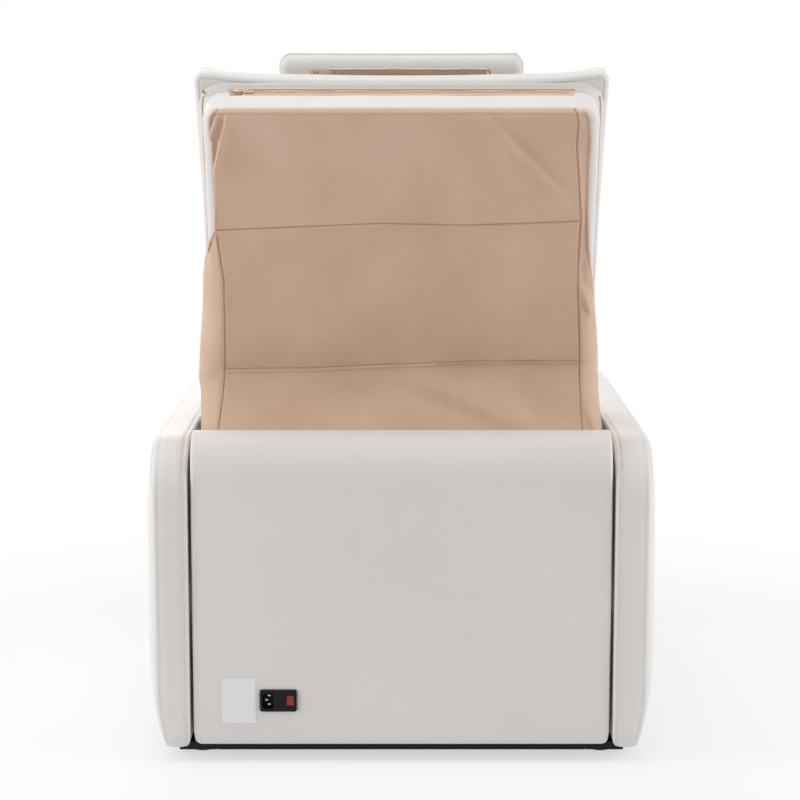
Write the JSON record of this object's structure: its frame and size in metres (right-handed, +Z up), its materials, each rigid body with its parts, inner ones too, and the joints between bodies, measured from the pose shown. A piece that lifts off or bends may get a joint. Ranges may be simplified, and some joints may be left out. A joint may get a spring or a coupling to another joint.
{
  "type": "electric massage bed",
  "caption": "Padded reclining spa chair that lies back into a massage bed, with motor-driven back and leg rest, cloth-covered back, head pillow and mains inlet.",
  "frame": {"origin": "on the floor, under the middle of the chair's outer box", "axes": "+Z up, -Y the way the sitter faces, +X to the sitter's left"},
  "size_m": [0.82, 0.9, 1.1003],
  "materials": {
    "white_leather": "satin",
    "beige_cloth": "matte",
    "zip_nylon": "matte",
    "zip_metal": "satin",
    "plywood": "matte",
    "black_board": "matte",
    "dark_steel": "satin",
    "bright_steel": "satin",
    "black_plastic": "satin",
    "grey_plastic": "matte",
    "red_plastic": "gloss",
    "foot_rubber": "matte",
    "plate_film": "satin"
  },
  "bodies": {
    "base": {"arm_board_left": "plywood", "arm_board_right": "plywood", "arm_pad_left": "white_leather", "arm_pad_right": "white_leather", "back_actuator_clevis": "dark_steel", "back_bracket_left": "dark_steel", "back_bracket_right": "dark_steel", "control_box": "grey_plastic", "floor_board": "plywood", "glide_foot_front_left": "foot_rubber", "glide_foot_front_right": "foot_rubber", "glide_foot_rear_left": "foot_rubber", "glide_foot_rear_right": "foot_rubber", "inlet_housing": "black_plastic", "inlet_pin_earth": "bright_steel", "inlet_pin_line": "bright_steel", "inlet_pin_neutral": "bright_steel", "leg_actuator_clevis": "dark_steel", "legrest_bracket_left": "dark_steel", "legrest_bracket_right": "dark_steel", "plinth_rail_front": "black_board", "plinth_rail_left": "black_board", "plinth_rail_rear": "black_board", "plinth_rail_right": "black_board", "rating_plate": "plate_film", "rear_panel_board": "plywood", "rear_panel_pad": "white_leather", "seat_board": "plywood", "seat_cushion": "white_leather", "seat_rail_left": "dark_steel", "seat_rail_right": "dark_steel"},
    "backrest": {"back_board": "plywood", "back_rail_left": "dark_steel", "back_rail_right": "dark_steel", "back_rail_top": "dark_steel", "back_rail_bottom": "dark_steel", "zip_band": "white_leather", "back_box_pad": "white_leather", "back_front_pad": "white_leather", "back_cover": "beige_cloth", "back_hinge_plate_left": "dark_steel", "back_hinge_plate_right": "dark_steel", "back_lever": "dark_steel", "back_zip": "zip_nylon"},
    "legrest": {"legrest_board": "plywood", "legrest_pad": "white_leather", "legrest_hinge_plate_left": "dark_steel", "legrest_hinge_plate_right": "dark_steel", "legrest_lever": "dark_steel"},
    "pillow": {"pillow_pad": "white_leather", "pillow_zip": "zip_nylon"},
    "back_zip_slider": {"back_zip_slider": "zip_metal"},
    "pillow_zip_slider": {"pillow_zip_slider": "zip_metal"},
    "rocker": {"rocker_switch": "red_plastic"},
    "back_drive": {"back_actuator_housing": "grey_plastic", "back_actuator_motor": "dark_steel"},
    "back_rod": {"back_actuator_rod": "bright_steel"},
    "leg_drive": {"leg_actuator_housing": "grey_plastic", "leg_actuator_motor": "dark_steel"},
    "leg_rod": {"leg_actuator_rod": "bright_steel"}
  },
  "joints": [
    {"name": "backrest_recline", "type": "hinge", "parent": "base", "child": "backrest", "pos_m": [0, 0.1445, 0.4807], "axis": [-1, 0, 0], "range_deg": [0, 40], "deforming": ["back_cover"]},
    {"name": "legrest_lift", "type": "hinge", "parent": "base", "child": "legrest", "pos_m": [0, -0.385, 0.372], "axis": [-1, 0, 0], "range_deg": [0, 75]},
    {"name": "back_drive_swing", "type": "hinge", "parent": "base", "child": "back_drive", "pos_m": [-0.11, -0.06, 0.13], "axis": [1, 0, 0], "range_deg": [0, 7]},
    {"name": "back_rod_slide", "type": "slide", "parent": "back_drive", "child": "back_rod", "axis": [0, 0.6347, 0.7728], "range_m": [-0.031, 0]},
    {"name": "leg_drive_swing", "type": "hinge", "parent": "base", "child": "leg_drive", "pos_m": [0.11, -0.02, 0.1], "axis": [1, 0, 0], "range_deg": [0, 4.4]},
    {"name": "leg_rod_slide", "type": "slide", "parent": "leg_drive", "child": "leg_rod", "axis": [0, -0.8332, 0.5529], "range_m": [0, 0.067]},
    {"name": "rocker_tilt", "type": "hinge", "parent": "base", "child": "rocker", "pos_m": [0.1735, 0.4443, 0.1], "axis": [-1, 0, 0], "range_deg": [0, 16]},
    {"name": "pillow_slide", "type": "slide", "parent": "backrest", "child": "pillow", "axis": [0, -0.3533, -0.9355], "range_m": [0, 0.1]},
    {"name": "back_zip_slide", "type": "slide", "parent": "backrest", "child": "back_zip_slider", "axis": [-1, 0, 0], "range_m": [0, 0.48]},
    {"name": "pillow_zip_slide", "type": "slide", "parent": "pillow", "child": "pillow_zip_slider", "axis": [-1, 0, 0], "range_m": [0, 0.22]}
  ],
  "couplings": [
    {"joint": "back_drive_swing", "follows": "backrest_recline", "ratio": 0.17123},
    {"joint": "back_rod_slide", "follows": "backrest_recline", "m_per_rad": -0.043242},
    {"joint": "leg_drive_swing", "follows": "legrest_lift", "ratio": 0.056446},
    {"joint": "leg_rod_slide", "follows": "legrest_lift", "m_per_rad": 0.050214}
  ]
}
